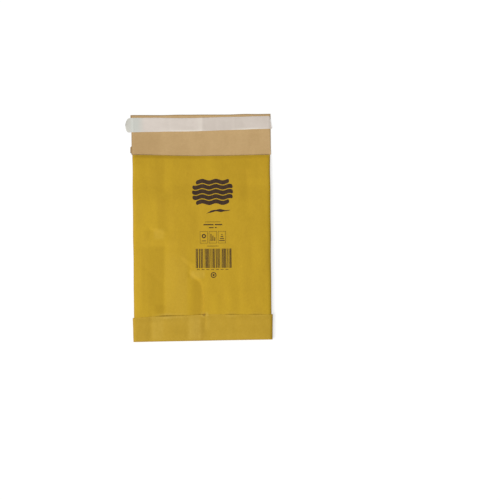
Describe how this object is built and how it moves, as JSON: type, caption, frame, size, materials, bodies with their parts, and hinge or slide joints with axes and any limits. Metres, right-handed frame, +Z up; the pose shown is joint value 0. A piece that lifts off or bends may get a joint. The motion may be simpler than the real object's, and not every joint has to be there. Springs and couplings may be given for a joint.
{
  "type": "padded envelope",
  "caption": "Padded kraft paper mailer lying open: lined pocket with a turned-up foot, back lap seam, and a flap with an adhesive strip under a peel-off liner.",
  "frame": {"origin": "middle of the flat resting face, which is the address side of the mailer", "axes": "+X across the mailer to its right side, +Y from the folded foot to the top edge of the open flap, +Z up out of the back"},
  "size_m": [0.1972, 0.3058, 0.0126],
  "materials": {
    "yellow_kraft": "matt yellow-brown kraft paper over soft padding",
    "tan_kraft": "matt unbleached kraft paper",
    "clear_adhesive": "thin tacky film",
    "coated_paper": "silicone-coated off-white release paper, soft sheen"
  },
  "bodies": {
    "root": {"padded_wallet": "yellow_kraft", "inner_ply": "tan_kraft", "adhesive_strip": "clear_adhesive", "release_liner": "coated_paper"}
  },
  "joints": []
}
